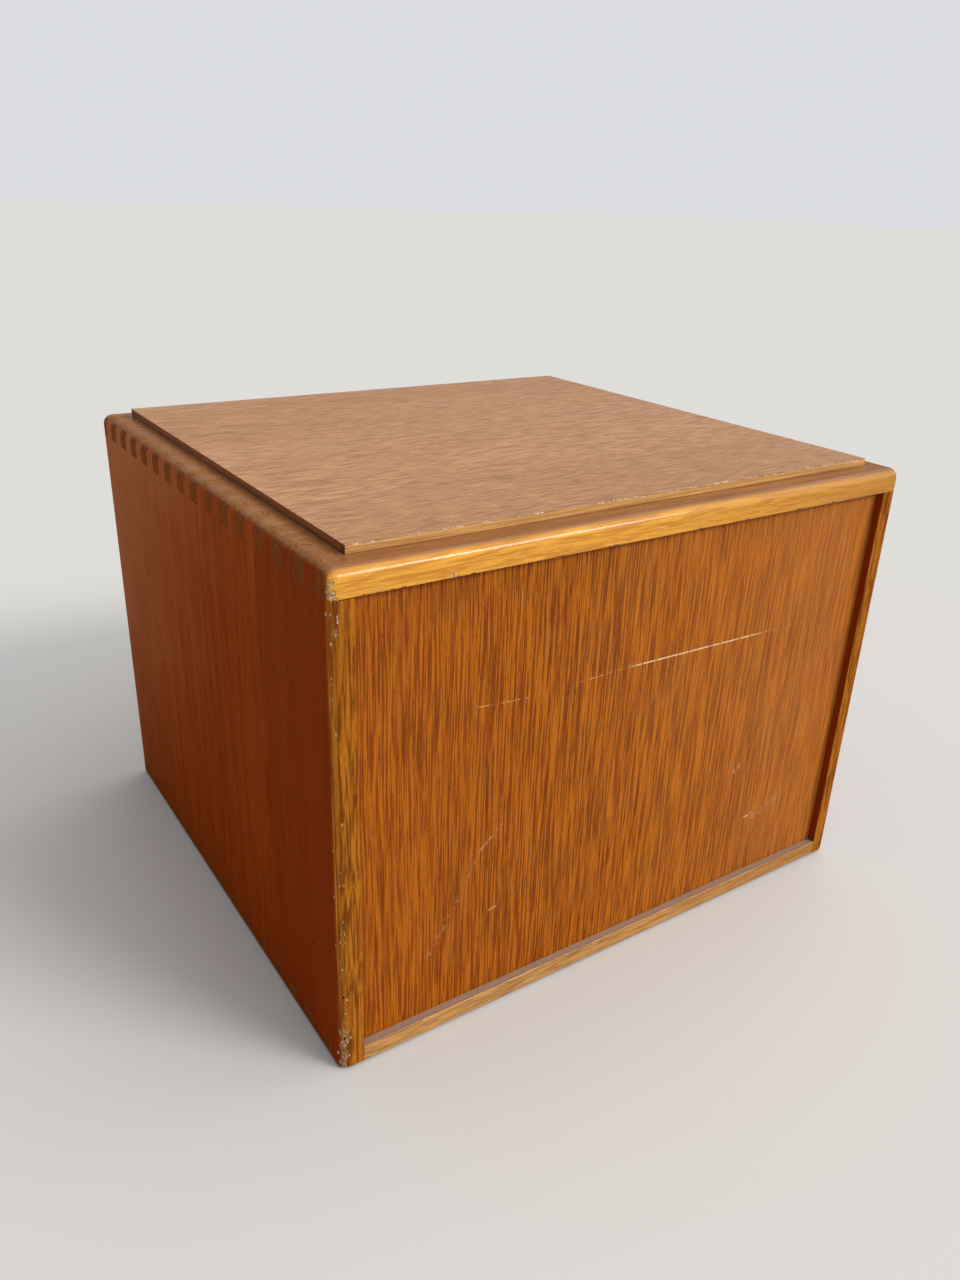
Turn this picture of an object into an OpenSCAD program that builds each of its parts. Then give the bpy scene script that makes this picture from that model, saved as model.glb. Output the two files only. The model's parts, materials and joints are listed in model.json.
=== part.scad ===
// Sewing table: a finger-jointed oak box with a lift-off lid over a well, a sliding thread tray,
// and two drawers. +Z is up, the origin is on the floor under the middle of the box, the recessed
// panel faces -Y and the drawers open towards +Y.

/* [Carcass] */
// Outside width, side to side
carcass_w = 500; // [430:10:620]
// Outside depth, panel face to drawer face
carcass_d = 458; // [400:2:560]
// Height of the top board above the floor
carcass_h = 365; // [330:1:450]
// Thickness of the side and top boards
board_t = 17.5; // [15:0.5:21]
// Thickness of the bottom board
base_t = 14; // [12:0.5:18]
// Radius on the upright and top edges
edge_r = 8; // [6:0.5:9]
// Radius on the bottom edges
foot_edge_r = 2.5; // [1:0.5:3]
// Fingers in each corner joint, an odd number
finger_count = 31; // [15:2:41]
// Diameter of each felt pad
pad_dia = 24; // [16:1:30]
// Thickness of each felt pad
pad_t = 1.5; // [1:0.5:4]
// Distance from the outer faces to each pad's middle
pad_inset = 34; // [25:1:60]

/* [Panel and shelf] */
// How far the panel, the apron and the drawer fronts sit back from the edges
face_recess = 6.5; // [3:0.5:10]
// Thickness of the veneered panel
panel_t = 6; // [4:0.5:9]
// Depth of the grooves that hold the panel, the shelf and the apron
groove_d = 6; // [4:0.5:8]
// Thickness of the shelf under the well
shelf_t = 8; // [6:0.5:12]
// Clear height of the well between the shelf and the top board
well_h = 87; // [80:1:110]
// Thickness of the apron
apron_t = 12; // [9:0.5:16]

/* [Lid] */
// Distance from the carcass sides to the ends of the lid
lid_inset_x = 21.5; // [12:0.5:26]
// Distance from the front and back of the carcass to the lid
lid_inset_y = 20; // [12:0.5:26]
// Whole thickness of the lid
lid_t = 6; // [5:0.5:9]
// Thickness of the face veneer
veneer_t = 0.8; // [0.5:0.1:1.5]
// Width of the lippings round the lid core
lipping_w = 5; // [3:0.5:8]
// Width of the top board left round the opening
rim_w = 34; // [32:1:60]
// Width of each lid batten
batten_w = 24; // [15:1:40]
// Depth of each lid batten
batten_t = 9; // [6:0.5:12]
// Clearance between the battens and the opening
batten_gap = 1; // [0.5:0.1:2]

/* [Thread tray] */
// Outside width of the tray along its slide
tray_w = 222; // [150:1:225]
// Outside height of the tray
tray_h = 44; // [35:1:50]
// Thickness of the tray walls
tray_wall_t = 8; // [6:0.5:10]
// Thickness of the tray bottom and its dividers
tray_thin_t = 4; // [3:0.5:6]
// Clearance round the tray
tray_gap = 0.5; // [0.3:0.1:1.5]
// Gap between the tray and the top board
tray_top_gap = 3; // [2:0.5:6]
// Thickness of the ledges under the tray
ledge_t = 8; // [6:0.5:12]
// Width of ledge under each end of the tray
ledge_bearing = 8; // [6:0.5:12]
// Height of the ledges' upstands beside the tray
ledge_upstand = 10; // [6:0.5:16]
// Diameter of the spool pins
pin_dia = 5; // [4:0.5:6]
// How far the tray's dividers stay below its rim
tray_divider_drop = 5; // [3:0.5:10]
// Height of the spool pins above the tray bottom
pin_h = 32; // [20:1:34]
// Distance between spool pins
pin_pitch = 42; // [36:1:50]

/* [Drawers] */
// Thickness of the drawer fronts
front_t = 18; // [15:0.5:22]
// Gap round the drawer fronts
front_gap = 1.5; // [1:0.1:2.5]
// Thickness of the drawer sides and backs
drawer_wall_t = 12; // [10:0.5:14]
// Thickness of the drawer bottoms
drawer_bottom_t = 5; // [4:0.5:7]
// Depth of the groove that holds a drawer bottom
bottom_groove_d = 5; // [3:0.5:6]
// Height of drawer bottom above the lower edge of its sides
bottom_lift = 5; // [4:0.5:8]
// How much lower the sides are than the front, top and bottom together
side_drop = 14; // [8:1:24]
// Height of the sides' lower edge above the front's
side_lift = 4; // [2:0.5:6]
// How far the fingers of the sides enter the front
front_lap = 12; // [8:0.5:12]
// Space left behind the drawers
drawer_back_gap = 14; // [8:1:40]
// Width of the finger scoop in a drawer front
scoop_w = 96; // [70:1:120]
// Depth of the finger scoop
scoop_d = 20; // [14:1:26]
// Height of the runner
runner_h = 12; // [9:0.5:16]
// How far the runner goes into the groove of a drawer side
runner_bite = 6; // [4:0.5:7]
// Clearance between a runner and its groove
runner_gap = 0.3; // [0.2:0.1:0.6]
// Gap between the end of a runner and the drawer front
runner_end_gap = 1; // [0.5:0.5:4]
// Thickness of the dividers in the upper drawer
divider_t = 6; // [4:0.5:8]
// How far those dividers stay below the drawer's sides
divider_drop = 12; // [4:1:20]

/* [Screws] */
// Shank diameter of the wood screws
screw_dia = 3; // [2.5:0.1:4]
// Head diameter of the wood screws
screw_head_dia = 6; // [5:0.1:7]
// Length of the runner screws
runner_screw_l = 17; // [14:0.5:20]
// Length of the batten screws
batten_screw_l = 12.5; // [11:0.5:13]

/* [Hidden] */
$fn = 48;
cut = 2;                                    // how far a cutter runs past a face
blank = 1;                                  // how far a board's blank runs past the rounded box
inner_w = carcass_w - 2 * board_t;
inner_x = inner_w / 2;
back_y = -carcass_d / 2;
front_y = carcass_d / 2;
finger_w = carcass_d / finger_count;
top_z = carcass_h - board_t;                // underside of the top board
base_z = pad_t + base_t;                    // top of the bottom board
panel_y = back_y + face_recess;             // outer face of the recessed panel
panel_in_y = panel_y + panel_t;
face_y = front_y - face_recess;             // outer face of the apron and the drawer fronts
apron_in_y = face_y - apron_t;
shelf_z = top_z - well_h;                   // top of the shelf
opening_x = carcass_w / 2 - rim_w;
opening_y = carcass_d / 2 - rim_w;

lid_x = carcass_w / 2 - lid_inset_x;
lid_y = carcass_d / 2 - lid_inset_y;
core_t = lid_t - veneer_t;
batten_x = opening_x - batten_gap - batten_w / 2;
batten_l = 2 * (opening_y - batten_gap);
batten_screws = 4;

tray_d = 2 * opening_y - 4 * tray_gap;      // it can be lifted through the opening
tray_top = top_z - tray_top_gap;
tray_z = tray_top - tray_h;
ledge_top = tray_z - tray_gap;
tray_x0 = -inner_x + tray_gap;              // left face of the tray at rest
tray_x1 = tray_x0 + tray_w;
tray_fingers = 5;
tray_floor_z = tray_z + tray_thin_t;        // underside of the tray bottom, lifted clear of the ledges
tray_groove_d = 4;
pin_rows = 3;
pin_cols = 4;
tray_split_y = -tray_d / 2 + tray_wall_t + pin_rows * pin_pitch;
tray_mid_y = (tray_split_y + tray_d / 2 - tray_wall_t) / 2;
tray_mid_x = (tray_x0 + tray_x1) / 2;
tray_divider_top = tray_top - tray_divider_drop;
tray_inside_z = tray_floor_z + tray_thin_t; // top of the tray bottom
tray_halving_z = (tray_inside_z + tray_divider_top) / 2;

drawer_count = 2;
drawer_zone = shelf_z - shelf_t - base_z;
front_h = (drawer_zone - (drawer_count + 1) * front_gap) / drawer_count;
front_x = inner_x - front_gap;
front_in_y = face_y - front_t;
drawer_back_y = panel_in_y + drawer_back_gap;
side_h = front_h - side_drop;
drawer_fingers = 5;
runner_z = side_h / 2;                      // middle of the runner above the side's lower edge
scoop_r = (pow(scoop_w / 2, 2) + pow(scoop_d, 2)) / (2 * scoop_d);
runner_y0 = panel_in_y;
runner_y1 = front_in_y - runner_end_gap;
runner_screws = 3;
drawer_in_x = front_x - drawer_wall_t;
divider_x = drawer_in_x / 3;
divider_y = (drawer_back_y + drawer_wall_t + front_in_y) / 2;
divider_z = side_z(1) + bottom_lift + drawer_bottom_t;
divider_h = side_h - bottom_lift - drawer_bottom_t - divider_drop;

oak_side = [0.60, 0.30, 0.12];
oak_top = [0.75, 0.52, 0.34];
oak_panel = [0.70, 0.38, 0.15];
oak_lid = [0.78, 0.58, 0.44];
beech = [0.85, 0.70, 0.50];
brass = [0.80, 0.64, 0.30];
felt = [0.30, 0.27, 0.24];

// ---- Shared shapes

// A block between any two opposite corners
module block(a, b) {
    lo = [for (i = [0:2]) min(a[i], b[i])];
    hi = [for (i = [0:2]) max(a[i], b[i])];
    translate(lo) cube(hi - lo);
}

// A bar along Y, given its outline in X and Z
module along_y(y0, y1) {
    translate([0, y1, 0]) rotate([90, 0, 0]) linear_extrude(y1 - y0) children();
}

// Upright slab outline of one width, rounded at the top and less at the foot
module slab_outline(w) {
    translate([-w / 2, pad_t + foot_edge_r])
        square([w, carcass_h - pad_t - foot_edge_r - edge_r]);
    translate([-w / 2 + edge_r, pad_t])
        square([w - 2 * edge_r, carcass_h - pad_t]);
    translate([-w / 2 + foot_edge_r, pad_t])
        square([w - 2 * foot_edge_r, foot_edge_r]);
    for (s = [-1, 1]) {
        translate([s * (w / 2 - edge_r), carcass_h - edge_r]) circle(edge_r);
        translate([s * (w / 2 - foot_edge_r), pad_t + foot_edge_r]) circle(foot_edge_r);
    }
}

// Turned outline of one rounded corner column
module column_outline() {
    translate([0, pad_t]) square([edge_r - foot_edge_r, carcass_h - pad_t - edge_r]);
    translate([0, pad_t + foot_edge_r])
        square([edge_r, carcass_h - pad_t - foot_edge_r - edge_r]);
    translate([edge_r - foot_edge_r, pad_t + foot_edge_r]) circle(foot_edge_r);
    intersection() {
        translate([0, carcass_h - edge_r]) circle(edge_r);
        translate([0, carcass_h - 2 * edge_r]) square([edge_r, 2 * edge_r]);
    }
}

// The whole rounded box that the four boards are trimmed to
module carcass_form() {
    corner_x = carcass_w / 2 - edge_r;
    corner_y = carcass_d / 2 - edge_r;
    along_y(-corner_y, corner_y) slab_outline(carcass_w);
    rotate(90) along_y(-corner_x, corner_x) slab_outline(carcass_d);
    for (sx = [-1, 1], sy = [-1, 1])
        translate([sx * corner_x, sy * corner_y, 0]) rotate_extrude() column_outline();
}

// Where finger i of a carcass joint starts and ends; the outer ones run past the box
function finger_lo(i) = i == 0 ? back_y - cut : back_y + i * finger_w;
function finger_hi(i) = i == finger_count - 1 ? front_y + cut : back_y + (i + 1) * finger_w;

// Cutters for every second finger of a carcass joint on side s, from finger first
module carcass_fingers(s, first, z0, z1) {
    for (i = [first : 2 : finger_count - 1])
        block([s * inner_x, finger_lo(i), z0], [s * (carcass_w / 2 + cut), finger_hi(i), z1]);
}

// The panel, and the groove it fills
module panel_solid() {
    block([-inner_x - groove_d, panel_y, base_z - groove_d],
          [inner_x + groove_d, panel_in_y, top_z + groove_d]);
}

module shelf_solid() {
    block([-inner_x - groove_d, panel_in_y, shelf_z - shelf_t],
          [inner_x + groove_d, face_y, shelf_z]);
}

module apron_solid() {
    block([-inner_x - groove_d, apron_in_y, shelf_z], [inner_x + groove_d, face_y, top_z]);
}

// A countersunk screw along +Z with its head's flat face at z = 0, pointing down
module screw(length) {
    head_h = (screw_head_dia - screw_dia) / 2;
    translate([0, 0, -head_h]) cylinder(h = head_h, d1 = screw_dia, d2 = screw_head_dia);
    translate([0, 0, -length]) cylinder(h = length - head_h, d = screw_dia);
}

// Places children at each runner screw on side s, with the screw's head facing the drawers
module at_runner_screws(s) {
    span = runner_y1 - runner_y0;
    for (d = [0 : drawer_count - 1], k = [0 : runner_screws - 1])
        translate([s * (inner_x - front_gap - runner_bite),
                   runner_y0 + span * (k + 0.5) / runner_screws, runner_mid_z(d)])
            rotate([0, -s * 90, 0]) children();
}

// ---- Carcass

module side_board(s) {
    intersection() {
        carcass_form();
        difference() {
            block([s * inner_x, back_y - blank, pad_t - blank],
                  [s * (carcass_w / 2 + blank), front_y + blank, carcass_h + blank]);
            carcass_fingers(s, 0, top_z, carcass_h + cut);
            carcass_fingers(s, 1, pad_t - cut, base_z);
            panel_solid();
            shelf_solid();
            apron_solid();
            at_runner_screws(s) screw(runner_screw_l);
        }
    }
}

module left_side() color(oak_side) side_board(-1);

module right_side() color(oak_side) side_board(1);

module top_board() color(oak_top) intersection() {
    carcass_form();
    difference() {
        block([-carcass_w / 2 - blank, back_y - blank, top_z],
              [carcass_w / 2 + blank, front_y + blank, carcass_h + blank]);
        for (s = [-1, 1]) carcass_fingers(s, 1, top_z - cut, carcass_h + cut);
        panel_solid();
        block([-opening_x, -opening_y, top_z - cut], [opening_x, opening_y, carcass_h + cut]);
    }
}

module bottom_board() color(oak_top) intersection() {
    carcass_form();
    difference() {
        block([-carcass_w / 2 - blank, back_y - blank, pad_t - blank],
              [carcass_w / 2 + blank, front_y + blank, base_z]);
        for (s = [-1, 1]) carcass_fingers(s, 0, pad_t - cut, base_z + cut);
        panel_solid();
    }
}

module back_panel() color(oak_panel) panel_solid();

module well_shelf() color(beech) shelf_solid();

module front_apron() color(oak_panel) apron_solid();

// Two rebated rails, one along the panel and one along the apron
module tray_ledges() color(beech) {
    bearing_y = tray_d / 2 - ledge_bearing;
    guide_y = tray_d / 2 + tray_gap;
    for (wall_y = [panel_in_y, apron_in_y]) {
        s = sign(wall_y);
        block([-inner_x, wall_y, ledge_top - ledge_t], [inner_x, s * bearing_y, ledge_top]);
        block([-inner_x, wall_y, ledge_top], [inner_x, s * guide_y, ledge_top + ledge_upstand]);
    }
}

module felt_pads() color(felt)
    for (sx = [-1, 1], sy = [-1, 1])
        translate([sx * (carcass_w / 2 - pad_inset), sy * (carcass_d / 2 - pad_inset), 0])
            cylinder(h = pad_t, d = pad_dia);

// ---- Lid

module lid_core() color(beech) difference() {
    block([-lid_x + lipping_w, -lid_y + lipping_w, carcass_h],
          [lid_x - lipping_w, lid_y - lipping_w, carcass_h + core_t]);
    at_batten_screws() screw(batten_screw_l);
}

module lid_veneer() color(oak_lid)
    block([-lid_x, -lid_y, carcass_h + core_t], [lid_x, lid_y, carcass_h + lid_t]);

// A long lipping on side s of the lid
module long_lipping(s) color(oak_top)
    block([-lid_x, s * lid_y, carcass_h], [lid_x, s * (lid_y - lipping_w), carcass_h + core_t]);

module lid_back_lipping() long_lipping(-1);

module lid_front_lipping() long_lipping(1);

module lid_end_lippings() color(oak_top)
    for (s = [-1, 1])
        block([s * lid_x, -lid_y + lipping_w, carcass_h],
              [s * (lid_x - lipping_w), lid_y - lipping_w, carcass_h + core_t]);

module lid_battens() color(beech)
    for (s = [-1, 1]) difference() {
        translate([s * batten_x, 0, carcass_h - batten_t / 2])
            cube([batten_w, batten_l, batten_t], center = true);
        at_batten_screws() screw(batten_screw_l);
    }

// Places children at each batten screw, its head facing down
module at_batten_screws()
    for (s = [-1, 1], k = [0 : batten_screws - 1])
        translate([s * batten_x, batten_l * ((k + 0.5) / batten_screws - 0.5), carcass_h - batten_t])
            rotate([180, 0, 0]) children();

module batten_screws() color(brass) at_batten_screws() screw(batten_screw_l);

// ---- Thread tray

// Cutters for every second finger of a tray corner: the wall's whole thickness, at one end
module tray_fingers_cut(first, a, b) {
    step = tray_h / tray_fingers;
    for (i = [first : 2 : tray_fingers - 1])
        block([a[0], a[1], tray_z + i * step - (i == 0 ? cut : 0)],
              [b[0], b[1], tray_z + (i + 1) * step + (i == tray_fingers - 1 ? cut : 0)]);
}

// The tray's bottom, and the groove that it fills
module tray_floor() {
    inset = tray_wall_t - tray_groove_d;
    block([tray_x0 + inset, -tray_d / 2 + inset, tray_floor_z],
          [tray_x1 - inset, tray_d / 2 - inset, tray_floor_z + tray_thin_t]);
}

// An end wall of the tray on side s, along X
module tray_end_wall(s) color(beech) difference() {
    block([tray_x0, s * tray_d / 2, tray_z], [tray_x1, s * (tray_d / 2 - tray_wall_t), tray_top]);
    for (x = [tray_x0, tray_x1]) {
        side = x == tray_x0 ? 1 : -1;
        tray_fingers_cut(1, [x - side * cut, s * (tray_d / 2 + cut)],
                         [x + side * tray_wall_t, s * (tray_d / 2 - tray_wall_t - cut)]);
    }
    tray_floor();
}

// A long wall of the tray along Y, whose outer face is at x and whose inside is towards side
module tray_long_wall(x, side) color(beech) difference() {
    block([x, -tray_d / 2, tray_z], [x + side * tray_wall_t, tray_d / 2, tray_top]);
    for (s = [-1, 1])
        tray_fingers_cut(0, [x - side * cut, s * (tray_d / 2 + cut)],
                         [x + side * (tray_wall_t + cut), s * (tray_d / 2 - tray_wall_t)]);
    tray_floor();
}

module tray_back_wall() tray_end_wall(-1);

module tray_front_wall() tray_end_wall(1);

module tray_left_wall() tray_long_wall(tray_x0, 1);

module tray_right_wall() tray_long_wall(tray_x1, -1);

// Places children at each spool pin, at the underside of the tray bottom
module at_pins()
    for (i = [0 : pin_cols - 1], j = [0 : pin_rows - 1])
        translate([tray_mid_x + (i - (pin_cols - 1) / 2) * pin_pitch,
                   -tray_d / 2 + tray_wall_t + (j + 0.5) * pin_pitch, tray_floor_z])
            children();

module tray_bottom() color(beech) difference() {
    tray_floor();
    at_pins() translate([0, 0, -cut]) cylinder(h = tray_thin_t + 2 * cut, d = pin_dia);
}

// A turned pin with a rounded tip
module spool_pins() color(beech) at_pins() {
    cylinder(h = tray_thin_t + pin_h - pin_dia / 2, d = pin_dia);
    translate([0, 0, tray_thin_t + pin_h - pin_dia / 2]) sphere(d = pin_dia);
}

// One wall across the tray behind the pins, and one across the small compartments
module tray_cross_dividers() color(beech) difference() {
    for (y = [tray_split_y, tray_mid_y])
        block([tray_x0 + tray_wall_t, y, tray_inside_z],
              [tray_x1 - tray_wall_t, y + tray_thin_t, tray_divider_top]);
    block([tray_mid_x - tray_thin_t / 2, tray_mid_y - cut, tray_halving_z],
          [tray_mid_x + tray_thin_t / 2, tray_mid_y + tray_thin_t + cut, tray_divider_top + cut]);
}

module tray_long_divider() color(beech) difference() {
    block([tray_mid_x - tray_thin_t / 2, tray_split_y + tray_thin_t, tray_inside_z],
          [tray_mid_x + tray_thin_t / 2, tray_d / 2 - tray_wall_t, tray_divider_top]);
    block([tray_mid_x - tray_thin_t, tray_mid_y, tray_floor_z],
          [tray_mid_x + tray_thin_t, tray_mid_y + tray_thin_t, tray_halving_z]);
}

// ---- Drawers, counted from 0 at the bottom

function front_z(d) = base_z + front_gap + d * (front_h + front_gap);
function side_z(d) = front_z(d) + side_lift;
function runner_mid_z(d) = side_z(d) + runner_z;
function side_finger_z(d, i) = side_z(d) + i * side_h / drawer_fingers;

// Fingers of drawer d's corner joints on side s, every second one from first, between two depths
module drawer_fingers_of(d, s, first, y0, y1, past)
    for (i = [first : 2 : drawer_fingers - 1])
        block([s * (front_x + past), y0, side_finger_z(d, i) - (i == 0 ? past : 0)],
              [s * (front_x - drawer_wall_t - past), y1,
               side_finger_z(d, i + 1) + (i == drawer_fingers - 1 ? past : 0)]);

// The drawer's bottom, and the groove it fills in the front and the sides
module drawer_floor(d) {
    x = front_x - drawer_wall_t + bottom_groove_d;
    block([-x, drawer_back_y, side_z(d) + bottom_lift],
          [x, front_in_y + bottom_groove_d, side_z(d) + bottom_lift + drawer_bottom_t]);
}

module drawer_front(d) color(oak_panel) difference() {
    block([-front_x, front_in_y, front_z(d)], [front_x, face_y, front_z(d) + front_h]);
    translate([0, face_y + cut, front_z(d) + front_h - scoop_d + scoop_r])
        rotate([90, 0, 0]) cylinder(h = front_t + 2 * cut, r = scoop_r, $fn = 96);
    for (s = [-1, 1], i = [0 : 2 : drawer_fingers - 1])
        block([s * (front_x + cut), front_in_y - cut, side_finger_z(d, i)],
              [s * (front_x - drawer_wall_t), front_in_y + front_lap, side_finger_z(d, i + 1)]);
    drawer_floor(d);
}

module drawer_side(d, s) color(beech) difference() {
    union() {
        block([s * front_x, drawer_back_y, side_z(d)],
              [s * (front_x - drawer_wall_t), front_in_y, side_z(d) + side_h]);
        drawer_fingers_of(d, s, 0, front_in_y, front_in_y + front_lap, 0);
    }
    drawer_fingers_of(d, s, 1, drawer_back_y - cut, drawer_back_y + drawer_wall_t, cut);
    block([s * (front_x + cut), drawer_back_y - cut, runner_mid_z(d) - runner_h / 2 - runner_gap],
          [s * (front_x - runner_bite - runner_gap), front_in_y,
           runner_mid_z(d) + runner_h / 2 + runner_gap]);
    drawer_floor(d);
}

module drawer_back(d) color(beech) difference() {
    block([-front_x, drawer_back_y, side_z(d) + bottom_lift + drawer_bottom_t],
          [front_x, drawer_back_y + drawer_wall_t, side_z(d) + side_h]);
    for (s = [-1, 1])
        drawer_fingers_of(d, s, 0, drawer_back_y - cut, drawer_back_y + drawer_wall_t + cut, 0);
    for (s = [-1, 1])
        block([s * (front_x + cut), drawer_back_y - cut, runner_mid_z(d) - runner_h / 2 - runner_gap],
              [s * (front_x - runner_bite - runner_gap), drawer_back_y + drawer_wall_t + cut,
               runner_mid_z(d) + runner_h / 2 + runner_gap]);
}

module drawer_bottom(d) color(beech) drawer_floor(d);

module upper_drawer_front() drawer_front(1);

module upper_drawer_left_side() drawer_side(1, -1);

module upper_drawer_right_side() drawer_side(1, 1);

module upper_drawer_back() drawer_back(1);

module upper_drawer_bottom() drawer_bottom(1);

module lower_drawer_front() drawer_front(0);

module lower_drawer_left_side() drawer_side(0, -1);

module lower_drawer_right_side() drawer_side(0, 1);

module lower_drawer_back() drawer_back(0);

module lower_drawer_bottom() drawer_bottom(0);

// A divider from back to front, a third of the way across
module upper_drawer_long_divider() color(beech) difference() {
    block([divider_x, drawer_back_y + drawer_wall_t, divider_z],
          [divider_x + divider_t, front_in_y, divider_z + divider_h]);
    block([divider_x - cut, divider_y, divider_z + divider_h / 2],
          [divider_x + divider_t + cut, divider_y + divider_t, divider_z + divider_h + cut]);
}

// A divider from side to side, halved over the other
module upper_drawer_cross_divider() color(beech) difference() {
    block([-drawer_in_x, divider_y, divider_z],
          [drawer_in_x, divider_y + divider_t, divider_z + divider_h]);
    block([divider_x, divider_y - cut, divider_z - cut],
          [divider_x + divider_t, divider_y + divider_t + cut, divider_z + divider_h / 2]);
}

// Four hardwood runners screwed to the carcass sides
module drawer_runners() color(beech)
    for (s = [-1, 1], d = [0 : drawer_count - 1]) difference() {
        block([s * inner_x, runner_y0, runner_mid_z(d) - runner_h / 2],
              [s * (front_x - runner_bite), runner_y1, runner_mid_z(d) + runner_h / 2]);
        at_runner_screws(s) screw(runner_screw_l);
    }

module runner_screws() color(brass)
    for (s = [-1, 1]) at_runner_screws(s) screw(runner_screw_l);

left_side();
right_side();
top_board();
bottom_board();
back_panel();
well_shelf();
front_apron();
tray_ledges();
drawer_runners();
runner_screws();
felt_pads();
lid_core();
lid_veneer();
lid_back_lipping();
lid_front_lipping();
lid_end_lippings();
lid_battens();
batten_screws();
tray_back_wall();
tray_front_wall();
tray_left_wall();
tray_right_wall();
tray_bottom();
tray_cross_dividers();
tray_long_divider();
spool_pins();
upper_drawer_front();
upper_drawer_left_side();
upper_drawer_right_side();
upper_drawer_back();
upper_drawer_bottom();
upper_drawer_long_divider();
upper_drawer_cross_divider();
lower_drawer_front();
lower_drawer_left_side();
lower_drawer_right_side();
lower_drawer_back();
lower_drawer_bottom();
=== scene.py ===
import json
import math
import bmesh
import bpy
import numpy as np
from mathutils import Matrix, Vector


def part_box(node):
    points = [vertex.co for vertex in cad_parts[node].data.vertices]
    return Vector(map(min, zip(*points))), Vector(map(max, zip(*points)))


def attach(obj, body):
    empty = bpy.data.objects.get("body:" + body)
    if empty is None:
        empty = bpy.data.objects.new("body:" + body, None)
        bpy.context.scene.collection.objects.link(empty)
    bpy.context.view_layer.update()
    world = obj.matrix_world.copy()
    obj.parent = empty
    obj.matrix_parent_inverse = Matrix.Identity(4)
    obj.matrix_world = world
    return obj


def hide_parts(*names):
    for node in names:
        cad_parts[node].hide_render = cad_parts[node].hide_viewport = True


# Sewing table: an oiled and lacquered oak box with a loose lid, a thread tray and two drawers.
# Everything is in metres, +Z up, with the recessed panel facing -Y.

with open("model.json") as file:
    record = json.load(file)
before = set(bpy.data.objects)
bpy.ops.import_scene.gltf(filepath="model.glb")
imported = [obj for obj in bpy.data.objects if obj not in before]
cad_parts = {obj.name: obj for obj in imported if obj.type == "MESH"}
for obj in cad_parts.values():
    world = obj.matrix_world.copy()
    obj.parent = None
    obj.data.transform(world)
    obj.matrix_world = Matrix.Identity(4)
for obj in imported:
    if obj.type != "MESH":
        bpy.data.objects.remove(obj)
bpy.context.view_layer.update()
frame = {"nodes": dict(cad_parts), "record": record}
nodes = frame["nodes"]
slotOf = {part["node"]: part["material_slot"] for part in frame["record"]["subparts"]}
print("frame loaded:", len(nodes), "nodes")


# Node helpers

def addNode(tree, kind, inputs=None, **options):
    node = tree.nodes.new(kind)
    for key, value in options.items():
        setattr(node, key, value)
    for key, value in (inputs or {}).items():
        if isinstance(value, bpy.types.NodeSocket):
            tree.links.new(value, node.inputs[key])
        else:
            node.inputs[key].default_value = value
    return node


def maths(tree, operation, *values, clamp=False):
    numbered = dict(enumerate(values))
    return addNode(tree, "ShaderNodeMath", numbered, operation=operation, use_clamp=clamp).outputs[0]


def vectorMaths(tree, operation, *values, output="Vector"):
    return addNode(tree, "ShaderNodeVectorMath", dict(enumerate(values)), operation=operation).outputs[output]


def scaled(tree, vector, factor):
    return addNode(tree, "ShaderNodeVectorMath", {0: vector, "Scale": factor}, operation="SCALE").outputs[0]


def noise(tree, vector, scale, detail=2.0, roughness=0.5, distortion=0.0):
    given = {"Vector": vector, "Scale": scale, "Detail": detail, "Roughness": roughness,
             "Distortion": distortion}
    return addNode(tree, "ShaderNodeTexNoise", given).outputs["Fac"]


def remap(tree, value, low, high, lowOut=0.0, highOut=1.0):
    given = {"Value": value, "From Min": low, "From Max": high, "To Min": lowOut, "To Max": highOut}
    return addNode(tree, "ShaderNodeMapRange", given, interpolation_type="SMOOTHSTEP").outputs["Result"]


def blend(tree, factor, below, above, mode="MIX"):
    node = addNode(tree, "ShaderNodeMix", data_type="RGBA", blend_type=mode)
    for socket, value in ((node.inputs[0], factor), (node.inputs[6], below), (node.inputs[7], above)):
        if isinstance(value, bpy.types.NodeSocket):
            tree.links.new(value, socket)
        else:
            socket.default_value = value if socket == node.inputs[0] else (*value, 1)
    return node.outputs[2]


def makeGroup(name, inputs, outputs):
    group = bpy.data.node_groups.new(name, "ShaderNodeTree")
    kinds = {"value": "NodeSocketFloat", "vector": "NodeSocketVector"}
    for label, kind, value in inputs:
        group.interface.new_socket(label, in_out="INPUT", socket_type=kinds[kind]).default_value = value
    for label in outputs:
        group.interface.new_socket(label, in_out="OUTPUT", socket_type="NodeSocketFloat")
    return group, group.nodes.new("NodeGroupInput").outputs, group.nodes.new("NodeGroupOutput").inputs


def useGroup(tree, group, inputs):
    node = addNode(tree, "ShaderNodeGroup", node_tree=group)
    for key, value in inputs.items():
        if isinstance(value, bpy.types.NodeSocket):
            tree.links.new(value, node.inputs[key])
        else:
            node.inputs[key].default_value = value
    return node.outputs


# Camera, lights and floor

stageSettings = {
    "cameraPlace": (-0.4623, -0.6915, 0.5527),
    "cameraYaw": 34.17, "cameraPitch": 24.06, "cameraRoll": 2.04, "lens": 28.1,
    "floorSize": 60.0, "floorColour": (0.66, 0.65, 0.635), "worldColour": (0.95, 0.97, 1.0),
    "worldLight": 0.42, "worldSeen": 0.74, "roomGloss": 0.10, "wallGloss": 0.30,
    "floorGloss": (0.30, 0.15, 0.05),
    "windowTowards": ((0.41, -0.72, 0.56), (0.59, -0.64, 0.49)), "windowStrength": 0.88, "windowSpread": 15.0,
    "roomTowards": (0.53, -0.24, 0.81), "roomStrength": 1.65, "roomSpread": 90.0,
}


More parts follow.
